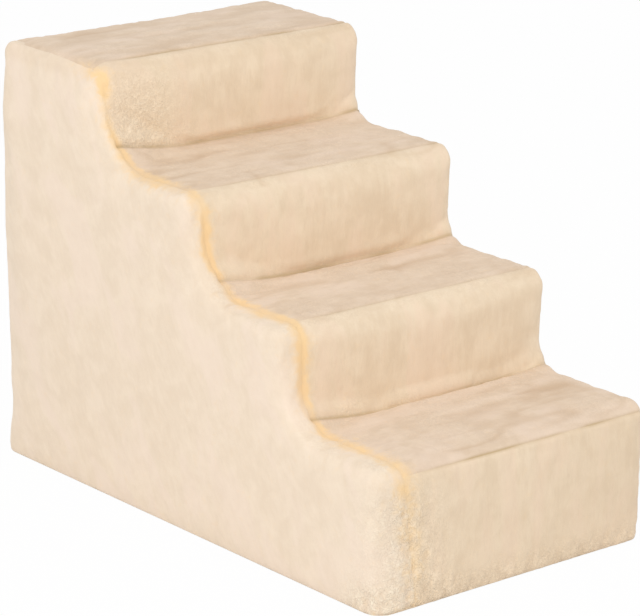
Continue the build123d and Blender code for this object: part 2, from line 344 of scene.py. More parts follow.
class Value:
    """A number that varies over a surface: sums with it add Math nodes."""

    def __init__(self, paint: "Paint", socket: bpy.types.NodeSocket) -> None:
        """Wrap an output socket of the paint's node tree."""
        self.paint = paint
        self.socket = socket

    def math(self, operation: str, *others: "Value | float") -> "Value":
        """Add one Math node."""
        return self.paint.node("ShaderNodeMath", {"operation": operation}, dict(enumerate((self, *others))))

    def __add__(self, other: "Value | float") -> "Value":
        """Add a number or another value."""
        return self.math("ADD", other)

    def __sub__(self, other: "Value | float") -> "Value":
        """Take away a number or another value."""
        return self.math("SUBTRACT", other)

    def __mul__(self, other: "Value | float") -> "Value":
        """Multiply by a number or another value."""
        return self.math("MULTIPLY", other)

    __radd__ = __add__
    __rmul__ = __mul__

    def fade(self, low: float, high: float) -> "Value":
        """Rise smoothly from 0 at low to 1 at high."""
        settings = {"interpolation_type": "SMOOTHSTEP"}
        return self.paint.node("ShaderNodeMapRange", settings, {0: self, 1: low, 2: high})


class Paint:
    """One material, or the sky, made of nodes."""

    def __init__(self, owner: bpy.types.Material | bpy.types.World) -> None:
        """Start with no nodes but the output."""
        self.owner = owner
        owner.use_nodes = True
        self.tree = owner.node_tree
        self.tree.nodes.clear()
        kind = "World" if isinstance(owner, bpy.types.World) else "Material"
        self.end = self.tree.nodes.new(f"ShaderNodeOutput{kind}")

    @cached_property
    def place(self) -> Value:
        """The object's own coordinates."""
        return self.node("ShaderNodeTexCoord", output="Object")

    def node(
        self,
        kind: str,
        settings: dict[str, object] | None = None,
        sockets: dict[int | str, object] | None = None,
        output: int | str = 0,
    ) -> Value:
        """Add a node.

        Args:
            kind: Blender's type of the node.
            settings: Its properties.
            sockets: Numbers, colours or links for its inputs, by name or number.
            output: Which output is wanted.

        Returns:
            That output.
        """
        made = self.tree.nodes.new(kind)
        for name, value in (settings or {}).items():
            setattr(made, name, value)
        for key, value in (sockets or {}).items():
            if isinstance(value, Value):
                self.tree.links.new(value.socket, made.inputs[key])
            else:
                made.inputs[key].default_value = value
        return Value(self, made.outputs[output])

    def stretched(self, lengths: Triple, turn: Triple = (0, 0, 0)) -> Value:
        """The object's own coordinates, for a pattern drawn out along turned axes."""
        settings = {"vector_type": "TEXTURE"}
        return self.node("ShaderNodeMapping", settings, {0: self.place, 2: turn, 3: lengths})

    def noise(self, scale: float, where: Value | None = None, detail: float = 2, **more: float) -> Value:
        """Noise from 0 to 1, with its lumps 1 / scale metres long."""
        sockets = {"Vector": where or self.place, "Scale": scale, "Detail": detail} | more
        return self.node("ShaderNodeTexNoise", sockets=sockets)

    def waves(self, scale: float, where: Value | None = None, across: str = "X", **more: float) -> Value:
        """Bands from 0 to 1, about pi / (10 * scale) metres apart."""
        sockets = {"Vector": where or self.place, "Scale": scale} | more
        return self.node("ShaderNodeTexWave", {"bands_direction": across}, sockets, output=1)

    def mix(self, share: Value | float, first: Value | Colour, second: Value | Colour) -> Value:
        """A colour between two."""
        ends = [c if isinstance(c, Value) else (*c, 1) for c in (first, second)]
        return self.node("ShaderNodeMix", {"data_type": "RGBA"}, {0: share, 6: ends[0], 7: ends[1]}, output=2)

    def bump(self, height: Value, distance: float, strength: float = 1.0) -> Value:
        """A normal that stands for the height, which is distance metres at 1."""
        sockets = {"Height": height, "Distance": distance, "Strength": strength}
        return self.node("ShaderNodeBump", sockets=sockets)

    def attribute(self, name: str) -> Value:
        """A number that the mesh holds for each vertex."""
        return self.node("ShaderNodeAttribute", {"attribute_name": name}, output="Fac")

    def finish(self, shader: Value) -> bpy.types.Material | bpy.types.World:
        """Show a shader, and give back what it was made for."""
        self.tree.links.new(shader.socket, self.end.inputs["Surface"])
        return self.owner


def shade(colour: Colour, factor: float) -> Colour:
    """A colour made darker or lighter."""
    return tuple(min(1.0, channel * factor) for channel in colour)


def shaded_side(colour: Colour, depth: float) -> Colour:
    """A darker copy of a colour, warmer because blue sinks first: painted shade between the hairs and in the
    cloth's dips, and the dark end of the random mottle.
    """
    return tuple(channel * (1 - depth * sink) for channel, sink in zip(colour, (0.7, 1.0, 1.35)))


def screen_colour(red: int, green: int, blue: int) -> Colour:
    """A linear colour from its 0 to 255 values on a screen."""
    shares = (red / 255, green / 255, blue / 255)
    return tuple(c / 12.92 if c <= 0.04045 else ((c + 0.055) / 1.055) ** 2.4 for c in shares)


# Finishes


@dataclass(frozen=True)
class Finish:
    """What a surface is made of: its name and its plain colour."""

    name: str
    colour: Colour

    def material(self) -> bpy.types.Material:
        """Make the material."""
        paint = Paint(bpy.data.materials.new(self.name))
        sockets = {name.replace("_", " "): value for name, value in self.look(paint).items()}
        return paint.finish(paint.node("ShaderNodeBsdfPrincipled", sockets=sockets))

    def look(self, paint: Paint) -> dict[str, object]:
        """Give the Principled shader's inputs, with underscores for spaces."""
        raise NotImplementedError

    def tones(self, paint: Paint, share: Value, first: float, second: float) -> Value:
        """The plain colour between two strengths of it."""
        return paint.mix(share, shade(self.colour, first), shade(self.colour, second))


@dataclass(frozen=True)
class Plush(Finish):
    """Short-pile plush: patches where the nap leans, streaks along it and curly fibres."""

    nap: Triple
    turn: Triple = (0, 0, 0)
    mottle: float = 0.05
    cloud: Colour = screen_colour(240, 214, 196)
    cloud_share: float = 0.4
    warm: Colour = screen_colour(246, 211, 161)
    # The seam lines' colour: the thread showing, with painted shade of the seam's groove.
    thread: Colour = screen_colour(186, 158, 112)

    def look(self, paint: Paint) -> dict[str, object]:
        """Cloth that reads the cover's fluff, lock, fold, warm and seam_thread_and_shade attributes."""
        along = paint.stretched(self.nap, self.turn)
        patches = paint.noise(34, detail=4, Distortion=0.5)
        clouds = paint.noise(19, along, detail=4, Distortion=0.7)
        streaks = paint.noise(150, along, detail=3)
        fibres = paint.noise(520, along, detail=2)
        curls = paint.noise(165, detail=2, Distortion=2.4)
        fluff = paint.attribute("fluff")

        dark = shaded_side(self.colour, 2 * self.mottle)
        light = shade(self.colour, 1 + self.mottle)
        lean = patches * 0.4 + clouds * 0.25 + streaks * 0.25 + fibres * 0.1
        cloth = paint.mix(lean.fade(0.36, 0.64), dark, light)
        cloth = paint.mix(clouds.fade(0.46, 0.64) * self.cloud_share, cloth, self.cloud)
        hair = (paint.noise(150, detail=1, Distortion=0.6) - 0.5).math("ABSOLUTE").fade(0.07, 0.005)
        curly = hair * 0.4 + curls.fade(0.38, 0.64) * 0.6 + paint.attribute("lock") * 0.55
        # Curls between painted shade in the gaps between the hairs and a paler tone.
        curly = paint.mix(curly, shaded_side(self.colour, 0.08), shade(self.colour, 1.2))
        cloth = paint.mix(fluff * 0.85, cloth, curly)
        # Painted shade: where the fold attribute rises, the cloth turns to a darker, warmer copy of its
        # colour, in the dips of the treads and on the lowest riser; the top tread is darkened by it too.
        cloth = paint.mix(paint.attribute("fold") * 0.8, cloth, shaded_side(self.colour, 0.3))
        frayed = paint.attribute("warm") + 1.1 * (paint.noise(105, detail=4, Distortion=0.8) - 0.5)
        warmth = frayed.fade(0.05, 1.0) * (2.2 * paint.noise(34, detail=3) - 0.2)
        cloth = paint.mix(warmth, cloth, self.warm)
        # Seam lines: the thread showing, with painted shade where the cloth dips into each seam.
        cloth = paint.mix(paint.attribute("seam_thread_and_shade"), cloth, self.thread)

        height = fibres * 0.45 + streaks * 0.35 + curls * (0.2 + 0.9 * fluff) + hair * 0.8 * fluff
        return {
            "Base_Color": cloth,
            "Roughness": 0.95,
            "Specular_IOR_Level": 0.15,
            "Sheen_Weight": 0.25,
            "Sheen_Roughness": 0.6,
            "Sheen_Tint": (1.0, 0.95, 0.88, 1),
            "Normal": paint.bump(height, 0.9 * MILLIMETRE, 0.7),
        }


@dataclass(frozen=True)
class GripCloth(Finish):
    """Plain woven cloth under the stairs."""

    thread_pitch: float = 0.8 * MILLIMETRE

    def look(self, paint: Paint) -> dict[str, object]:
        """A plain weave of two crossed waves."""
        scale = math.pi / (10 * self.thread_pitch)
        weft, warp = (paint.waves(scale, across=axis, Distortion=0.6, Detail=1.0) for axis in "XY")
        weave = weft * 0.5 + warp * 0.5
        return {
            "Base_Color": self.tones(paint, weave * 0.6 + paint.noise(30, detail=4) * 0.4, 0.72, 1.12),
            "Roughness": 0.85,
            "Specular_IOR_Level": 0.25,
            "Normal": paint.bump(weave, 0.25 * MILLIMETRE),
        }


@dataclass(frozen=True)
class GripRubber(Finish):
    """The small rubber dots on the cloth under the stairs."""

    def look(self, paint: Paint) -> dict[str, object]:
        """A slightly dusty rubber."""
        dust = paint.noise(120, detail=4)
        return {
            "Base_Color": self.tones(paint, dust.fade(0.35, 0.75), 0.85, 1.2),
            "Roughness": 0.45 + 0.3 * dust,
            "Normal": paint.bump(paint.noise(900), 0.05 * MILLIMETRE),
        }


@dataclass(frozen=True)
class OpenCellFoam(Finish):
    """Cut upholstery foam with its open cells."""

    cell: float = 1.4 * MILLIMETRE

    def look(self, paint: Paint) -> dict[str, object]:
        """Cells from a Voronoi pattern, a little darker with age in places."""
        sockets = {"Vector": paint.place, "Scale": 1 / self.cell, "Randomness": 1.0}
        cells = paint.node("ShaderNodeTexVoronoi", sockets=sockets)
        foam = self.tones(paint, cells.fade(0.0, 0.6), 0.7, 1)
        return {
            "Base_Color": paint.mix(paint.noise(9, detail=3) * 0.25, foam, shade(self.colour, 0.86)),
            "Roughness": 0.95,
            "Specular_IOR_Level": 0.1,
            "Normal": paint.bump(cells, 0.7 * MILLIMETRE),
        }


@dataclass(frozen=True)
class WovenTape(Finish):
    """The zip's tape: a fine twill."""

    rib_pitch: float = 0.7 * MILLIMETRE

    def look(self, paint: Paint) -> dict[str, object]:
        """Slanting ribs crossed by fine threads."""
        turned = paint.stretched((1, 1, 1), (0, math.radians(32), 0))
        ribs = paint.waves(math.pi / (10 * self.rib_pitch), turned, Distortion=0.4)
        return {
            "Base_Color": self.tones(paint, ribs * 0.7 + paint.noise(1400, detail=1) * 0.3, 0.74, 1.1),
            "Roughness": 0.8,
            "Sheen_Weight": 0.1,
            "Normal": paint.bump(ribs, 0.2 * MILLIMETRE),
        }


@dataclass(frozen=True)
class MouldedPlastic(Finish):
    """The zip's teeth and stops, dyed to match."""

    def look(self, paint: Paint) -> dict[str, object]:
        """A satin plastic with slight flow marks and wear."""
        flow = paint.noise(320, paint.stretched((1, 1, 2.5)), detail=3)
        return {
            "Base_Color": self.tones(paint, flow, 0.9, 1.07),
            "Roughness": 0.34 + 0.2 * paint.noise(700),
            "Coat_Weight": 0.15,
            "Normal": paint.bump(flow, 0.04 * MILLIMETRE),
        }


@dataclass(frozen=True)
class CastZinc(Finish):
    """The slider and its pull: die-cast zinc, tumbled and plated."""

    def look(self, paint: Paint) -> dict[str, object]:
        """A brushed metal with duller, darker patches."""
        brushed = paint.noise(900, paint.stretched((12, 1, 1)), detail=4)
        patches = paint.noise(160, detail=4)
        return {
            "Base_Color": self.tones(paint, patches.fade(0.35, 0.75), 1, 0.78),
            "Metallic": 1.0,
            "Roughness": 0.22 + 0.16 * brushed + 0.16 * patches,
            "Normal": paint.bump(brushed, 0.02 * MILLIMETRE),
        }


@dataclass(frozen=True)
class TwistedThread(Finish):
    """Sewing thread with its two plies."""

    def look(self, paint: Paint) -> dict[str, object]:
        """Slanting plies."""
        plies = paint.waves(480.0, paint.stretched((1, 1, 1), (0, math.radians(55), 0)), Distortion=0.3)
        return {
            "Base_Color": self.tones(paint, plies, 0.72, 1.1),
            "Roughness": 0.6,
            "Sheen_Weight": 0.2,
            "Normal": paint.bump(plies, 0.12 * MILLIMETRE),
        }


PLUSH = {
    Cloth.SIDE: Plush(
        "side_plush",
        screen_colour(240, 222, 200),
        nap=(1, 1, 2.4),
        turn=(math.radians(-30), 0, 0),
        mottle=0.032,
        cloud=screen_colour(243, 222, 205),
    ),
    Cloth.RISER: Plush(
        "riser_plush",
        screen_colour(236, 216, 189),
        nap=(1, 1, 4),
        mottle=0.045,
        cloud=screen_colour(240, 213, 188),
    ),
    Cloth.TREAD: Plush(
        "tread_plush",
        screen_colour(227, 205, 181),
        nap=(2.2, 1, 1),
        mottle=0.055,
        cloud=screen_colour(236, 213, 193),
        cloud_share=0.5,
    ),
}
GRIP_CLOTH = GripCloth("base_fabric", screen_colour(150, 134, 112))
GRIP_RUBBER = GripRubber("grip_rubber", screen_colour(112, 100, 84))
FOAM = OpenCellFoam("foam", screen_colour(244, 238, 214))
TAPE = WovenTape("zip_tape", screen_colour(226, 204, 172))
PLASTIC = MouldedPlastic("zip_plastic", screen_colour(224, 202, 168))
ZINC = CastZinc("zip_metal", screen_colour(190, 184, 172))
THREAD = TwistedThread("sewing_thread", screen_colour(222, 198, 160))


# The cover's form


@dataclass
class StairForm:
    """The smooth outside that the foam gives the cover, as a distance from it."""

    sizes: StairSizes
    nosing_radius: float = NOSING_TURN
    back_top_radius: float = 14 * MILLIMETRE
    base_radius: float = 5 * MILLIMETRE
    edge_radius: float = 9 * MILLIMETRE
    riser_lean: float = 4 * MILLIMETRE
    left_bridges: tuple[float, ...] = (70 * MILLIMETRE, 84 * MILLIMETRE, 88 * MILLIMETRE)
    right_bridge: float = 38 * MILLIMETRE
    middle_bridge: float = 8 * MILLIMETRE
    left_fade: float = 165 * MILLIMETRE
    right_fade: float = 100 * MILLIMETRE
    corner_reach: float = 30 * MILLIMETRE
    pile: float = 2.2 * MILLIMETRE
    zip_half: float = 8 * MILLIMETRE
    zip_calm: float = 30 * MILLIMETRE
    front_corner_radius: float = 26 * MILLIMETRE
    top_corner_radius: float = 34 * MILLIMETRE
    back_swell: float = 5 * MILLIMETRE
    right_swell: float = 2.5 * MILLIMETRE

    @staticmethod
    def _meet(first: np.ndarray, second: np.ndarray, radius: np.ndarray | float) -> np.ndarray:
        """The part inside both distances, with the edge between them rounded."""
        corner = np.hypot(np.maximum(radius + first, 0), np.maximum(radius + second, 0))
        return np.minimum(-radius, np.maximum(first, second)) + corner

    @staticmethod
    def _join(first: np.ndarray, second: np.ndarray, radius: np.ndarray | float) -> np.ndarray:
        """The part inside either distance, with the inner corner between them bridged."""
        corner = np.hypot(np.maximum(radius - first, 0), np.maximum(radius - second, 0))
        return np.maximum(radius, np.minimum(first, second)) - corner

    def bridge_radius(self, x: np.ndarray, step: int) -> np.ndarray:
        """How widely the cloth bridges the inner corner at a riser's foot."""
        seam = self.sizes.seam_x
        left = np.clip((self.left_fade - seam - x) / self.left_fade, 0, 1) ** 1.7
        right = np.clip((x - seam + self.right_fade) / self.right_fade, 0, 1) ** 1.7
        extra_left = (self.left_bridges[step - 1] - self.middle_bridge) * left
        extra_right = (self.right_bridge - self.middle_bridge) * right
        return self.middle_bridge + extra_left + extra_right

    def foot_y(self, step: int) -> float:
        """Where a riser meets the tread in front of it."""
        return self.sizes.riser_y[step] + (self.riser_lean if step else 0)

    def open_corners(self, points: np.ndarray) -> np.ndarray:
        """Draw points near each inner corner outwards, about as far as its bridge reaches."""
        moved = points.copy()
        x, y, z = points.T
        for step in range(1, STEPS):
            radius = self.bridge_radius(x, step)
            gap = np.hypot(y - self.foot_y(step), z - self.sizes.tread_z[step - 1])
            reach = np.maximum(1.6 * radius, self.corner_reach)
            push = (1 - math.sqrt(0.5)) * radius * np.clip(1 - gap / reach, 0, 1) ** 2
            moved[:, 1] -= push
            moved[:, 2] += push
        return moved

    def left_edge_radius(self, y: np.ndarray, z: np.ndarray) -> np.ndarray:
        """How softly the left edge is rounded: most at the front and at the top nosing."""
        sizes = self.sizes
        front = smooth_step(y, sizes.riser_y[0] + 0.12, sizes.riser_y[0])
        front = front * smooth_step(z, sizes.tread_z[0] + 0.02, sizes.tread_z[0] - 0.07)
        top = bump(np.hypot(y - sizes.riser_y[3] - 0.01, z - sizes.tread_z[3]), 0.045)
        radius = self.edge_radius + (self.front_corner_radius - self.edge_radius) * front
        return radius + (self.top_corner_radius - self.edge_radius) * top

    def distance(self, points: np.ndarray) -> np.ndarray:
        """Distance from the form, below 0 inside it.

        Args:
            points: Rows of x, y and z.

        Returns:
            One distance for each point.
        """
        sizes = self.sizes
        x, y, z = points.T
        section = None
        for step in range(STEPS):
            low_z = sizes.tread_z[step - 1] if step else 0
            rise = sizes.tread_z[step] - low_z
            lean = self.riser_lean * np.clip((sizes.tread_z[step] - z) / rise, 0, 1) if step else 0
            front = sizes.riser_y[step] + lean - y
            slab = self._meet(front, z - sizes.tread_z[step], self.nosing_radius)
            section = self._join(section, slab, self.bridge_radius(x, step)) if step else slab
        section = self._meet(section, y - sizes.back_y, self.back_top_radius)
        low_right = smooth_step(z, 0.0, 0.04) * self.right_swell
        whole = self._meet(section, x - sizes.half_width - low_right, self.edge_radius)
        whole = self._meet(whole, -x - sizes.half_width, self.left_edge_radius(y, z))
        return self._meet(whole - self._padding(y, z), -z, self.base_radius)

    def _padding(self, y: np.ndarray, z: np.ndarray) -> np.ndarray:
        """How far the plush stands off: none at the zip, and most high on the back."""
        back, top = self.sizes.back_y, self.sizes.tread_z[3]
        mouth = (self.sizes.zip_low + self.sizes.zip_high) / 2
        zip_gap = np.hypot(np.maximum(np.abs(z - mouth) - self.zip_half, 0), np.minimum(y - back, 0))
        upper = smooth_step(z, 0.1, 0.3) * smooth_step(z, top + 0.01, top - 0.1)
        swell = self.back_swell * upper * smooth_step(y, back - 0.16, back - 0.02)
        return self.pile * smooth_step(zip_gap, 0.0, self.zip_calm) + swell

    def settle(self, points: np.ndarray, rounds: int = 5, depth: float | None = None) -> np.ndarray:
        """Move points to the form's surface.

        Args:
            points: Rows of x, y and z.
            rounds: How many times they are moved.
            depth: Where given, only points less deep than this move, down to it.

        Returns:
            The moved points.
        """
        probe = 0.05 * MILLIMETRE
        for _ in range(rounds):
            level = self.distance(points)
            here = level if depth is None else np.maximum(level + depth, 0)
            slope = np.empty_like(points)
            for axis in range(3):
                ahead = points.copy()
                ahead[:, axis] += probe
                slope[:, axis] = (self.distance(ahead) - level) / probe
            steep = np.maximum((slope**2).sum(axis=1), 0.25)
            points = points - slope * (here / steep)[:, None]
        return points


# The cloth's lattice


@dataclass
class ClothLattice:
    """Flat grids for every face of the block, merged along their edges."""

    sizes: StairSizes
    pitch: float = 5.5 * MILLIMETRE
    seam_band: float = 4 * MILLIMETRE
    strip_cells: int = 6
    lines: dict[str, np.ndarray] = field(default_factory=dict)

    def _lines(self, marks: list[float]) -> np.ndarray:
        """Lattice lines at about the pitch, with one on every mark."""
        lines = [marks[0]]
        for low, high in zip(marks, marks[1:]):
            cells = max(1, round((high - low) / self.pitch))
            lines += list(np.linspace(low, high, cells + 1)[1:])
        return np.array(lines)

    def _banded(self, ends: list[float], seams: list[float]) -> list[float]:
        """The ends, and each seam with a mark close to either side of it."""
        marks = set(ends)
        for seam in seams:
            marks |= {seam - self.seam_band, seam, seam + self.seam_band}
        return sorted(marks)

    def plan(self) -> None:
        """Place the lattice lines along each axis."""
        sizes = self.sizes
        strip = list(np.linspace(-sizes.half_width, -sizes.seam_x, self.strip_cells + 1))
        across = self._lines([-sizes.seam_x, -sizes.seam_x + self.seam_band, 0])
        half = np.array(strip[:-1] + list(across))
        self.lines["x"] = np.concatenate([half, -half[:-1][::-1]])
        ends = [sizes.riser_y[0], sizes.back_y]
        seams = [-sizes.base_seam_y, sizes.base_seam_y, *sizes.nosing_seam_y, *sizes.riser_y[1:]]
        self.lines["y"] = self._lines(self._banded(ends, seams))
        ends = [0.0, sizes.tread_z[3], sizes.zip_low, sizes.zip_high, sizes.tread_z[0]]
        seams = [sizes.first_seam_z, *sizes.tread_z[1:3]]
        self.lines["z"] = self._lines(self._banded(ends, seams))

    def index(self, axis: str, place: float) -> int:
        """Which lattice line lies at a place."""
        return int(np.abs(self.lines[axis] - place).argmin())

    def in_metres(self, places: np.ndarray) -> np.ndarray:
        """Turn rows that count lattice lines into metres."""
        axes = zip(places.T, (self.lines[axis] for axis in "xyz"))
        return np.column_stack([np.interp(counts, np.arange(len(line)), line) for counts, line in axes])

    @staticmethod
    def _lay(low: tuple[int, int, int], high: tuple[int, int, int]) -> bpy.types.Object:
        """Add one flat grid of unit cells between two corners that share one coordinate."""
        spans = [b - a for a, b in zip(low, high)]
        middle = [(a + b) / 2 for a, b in zip(low, high)]
        if spans[0] == 0:
            cells, turn = (spans[2], spans[1]), (0, -math.pi / 2, 0)
        elif spans[1] == 0:
            cells, turn = (spans[0], spans[2]), (math.pi / 2, 0, 0)
        else:
            cells, turn = (spans[0], spans[1]), (0, 0, 0)
        counts = {"x_subdivisions": cells[0], "y_subdivisions": cells[1]}
        bpy.ops.mesh.primitive_grid_add(size=1, location=middle, rotation=turn, **counts)
        grid = bpy.context.object
        grid.scale = (*cells, 1)
        apply_place(grid)
        return grid

    def build(self) -> bpy.types.Object:
        """Make a closed, sharp-edged block with a lattice line on every seam."""
        self.plan()
        sizes = self.sizes
        end_x, end_y, end_z = (len(self.lines[axis]) - 1 for axis in "xyz")
        deselect()
        grids = [self._lay((0, 0, 0), (end_x, end_y, 0)), self._lay((0, end_y, 0), (end_x, end_y, end_z))]
        for step in range(STEPS):
            front = self.index("y", sizes.riser_y[step])
            back = self.index("y", sizes.riser_y[step + 1]) if step + 1 < STEPS else end_y
            low = self.index("z", sizes.tread_z[step - 1]) if step else 0
            top = self.index("z", sizes.tread_z[step])
            grids.append(self._lay((0, front, low), (end_x, front, top)))
            grids.append(self._lay((0, front, top), (end_x, back, top)))
            grids += [self._lay((side, front, low), (side, end_y, top)) for side in (0, end_x)]
        choose(grids[0])
        for grid in grids:
            grid.select_set(True)
        bpy.ops.object.join()
        block = grids[0]
        block.name = "cover_block"
        with editing(block):
            bpy.ops.mesh.select_all(action="SELECT")
            bpy.ops.mesh.remove_doubles(threshold=0.01)
            bpy.ops.mesh.normals_make_consistent(inside=False)
        self._name_parts(block)
        move_points(block, self.in_metres(points_of(block)))
        return block

    def _name_parts(self, block: bpy.types.Object) -> None:
        """Give each face the number of the panel that it belongs to."""
        sizes = self.sizes
        mesh = block.data
        x, y, z = self.in_metres(rows_of(mesh.polygons, "center")).T
        normals = rows_of(mesh.polygons, "normal")
        parts = np.full(len(normals), int(Part.BASE), dtype=np.int32)
        hair = 0.5 * MILLIMETRE
        level = normals[:, 2] > 0.5
        upright = normals[:, 1] < -0.5
        for step in range(STEPS):
            tread = level & (np.abs(z - sizes.tread_z[step]) < hair)
            riser = upright & (np.abs(y - sizes.riser_y[step]) < hair)
            parts[tread] = Part.TREAD_1 + step
            parts[riser] = Part.RISER_1 + step
            if step:
                parts[tread & (y < sizes.nosing_seam_y[step - 1])] = Part.RISER_1 + step
            else:
                parts[riser & (z > sizes.first_seam_z)] = Part.TREAD_1
        back = normals[:, 1] > 0.5
        parts[back] = Part.OPENING
        parts[back & (z > sizes.zip_high)] = Part.BACK
        parts[back & (z < sizes.zip_low)] = Part.BACK_HEM
        below = normals[:, 2] < -0.5
        parts[below & (y < -sizes.base_seam_y)] = Part.RISER_1
        parts[below & (y > sizes.base_seam_y)] = Part.BACK_HEM
        parts[x < -sizes.seam_x] = Part.LEFT_SIDE
        parts[(normals[:, 0] > 0.5) | ((x > sizes.seam_x) & (back | below))] = Part.RIGHT_SIDE
        for part in Part:
            mesh.materials.append(None)
        mesh.polygons.foreach_set("material_index", parts)
        mesh.attributes.new("part", "INT", "FACE").data.foreach_set("value", parts)


# How the sewn cloth departs from the plain form


@dataclass(frozen=True)
class Fold:
    """One soft ridge or dip in a tread's cloth, roughly along X."""

    step: int
    start_x: float
    end_x: float
    start_gap: float
    end_gap: float
    width: float
    height: float

    def lift(self, x: np.ndarray, gap: np.ndarray) -> np.ndarray:
        """How far the cloth stands off at x, gap metres in front of the riser's foot."""
        share = np.clip((x - self.start_x) / (self.end_x - self.start_x), 0, 1)
        middle = self.start_gap + (self.end_gap - self.start_gap) * share
        ends = smooth_step(x, self.start_x - 0.02, self.start_x + 0.03)
        ends = ends * smooth_step(x, self.end_x + 0.02, self.end_x - 0.03)
        waver = 0.2 * self.width * np.sin(x * 90 + self.step * 2.0)
        return self.height * ends * bump(gap - middle - waver, self.width)


FOLDS = [
    Fold(2, -0.15, 0.06, 0.022, 0.030, 0.009, 0.0024),
    Fold(2, -0.17, -0.02, 0.046, 0.052, 0.012, -0.0016),
    Fold(2, -0.10, 0.16, 0.060, 0.034, 0.010, 0.0016),
    Fold(2, 0.02, 0.19, 0.022, 0.016, 0.007, 0.0014),
    Fold(1, -0.17, 0.02, 0.018, 0.026, 0.008, 0.0018),
    Fold(1, -0.08, 0.17, 0.040, 0.030, 0.010, 0.0020),
    Fold(1, -0.16, 0.05, 0.066, 0.072, 0.014, 0.0012),
    Fold(1, 0.00, 0.18, 0.060, 0.050, 0.010, -0.0012),
    Fold(0, -0.17, 0.00, 0.030, 0.042, 0.010, 0.0018),
    Fold(0, -0.06, 0.15, 0.026, 0.020, 0.008, 0.0016),
    Fold(0, -0.14, 0.10, 0.070, 0.058, 0.012, 0.0014),
    Fold(0, -0.02, 0.18, 0.086, 0.074, 0.014, -0.0012),
    Fold(3, -0.16, 0.12, 0.120, 0.128, 0.012, 0.0012),
    Fold(3, -0.06, 0.17, 0.090, 0.082, 0.010, 0.0009),
]


@dataclass(frozen=True)
class SeamRelief:
    """How the cloth sinks along one kind of seam and puffs up beside it.

    Depth and height are in millimetres, reaches and gaps in metres.
    """

    depth: float
    depth_reach: float
    puff: float = 0.0
    puff_gap: float = 0.0
    puff_reach: float = 1.0

    def lift(self, gap: np.ndarray, show: np.ndarray | float) -> np.ndarray:
        """How far the cloth stands off at a distance from the seam, which shows more or less."""
        puff = self.puff * bump(gap - self.puff_gap, self.puff_reach)
        return puff - show * self.depth * bump(gap, self.depth_reach)


SEAM_RELIEFS = {
    "side": SeamRelief(0.8, 0.0035, puff=0.3, puff_gap=0.009, puff_reach=0.005),
    "crease": SeamRelief(2.2, 0.004, puff=0.9, puff_gap=0.011, puff_reach=0.006),
    "nosing": SeamRelief(1.3, 0.0026, puff=0.5, puff_gap=0.007, puff_reach=0.004),
    "hem": SeamRelief(0.8, 0.003),
}


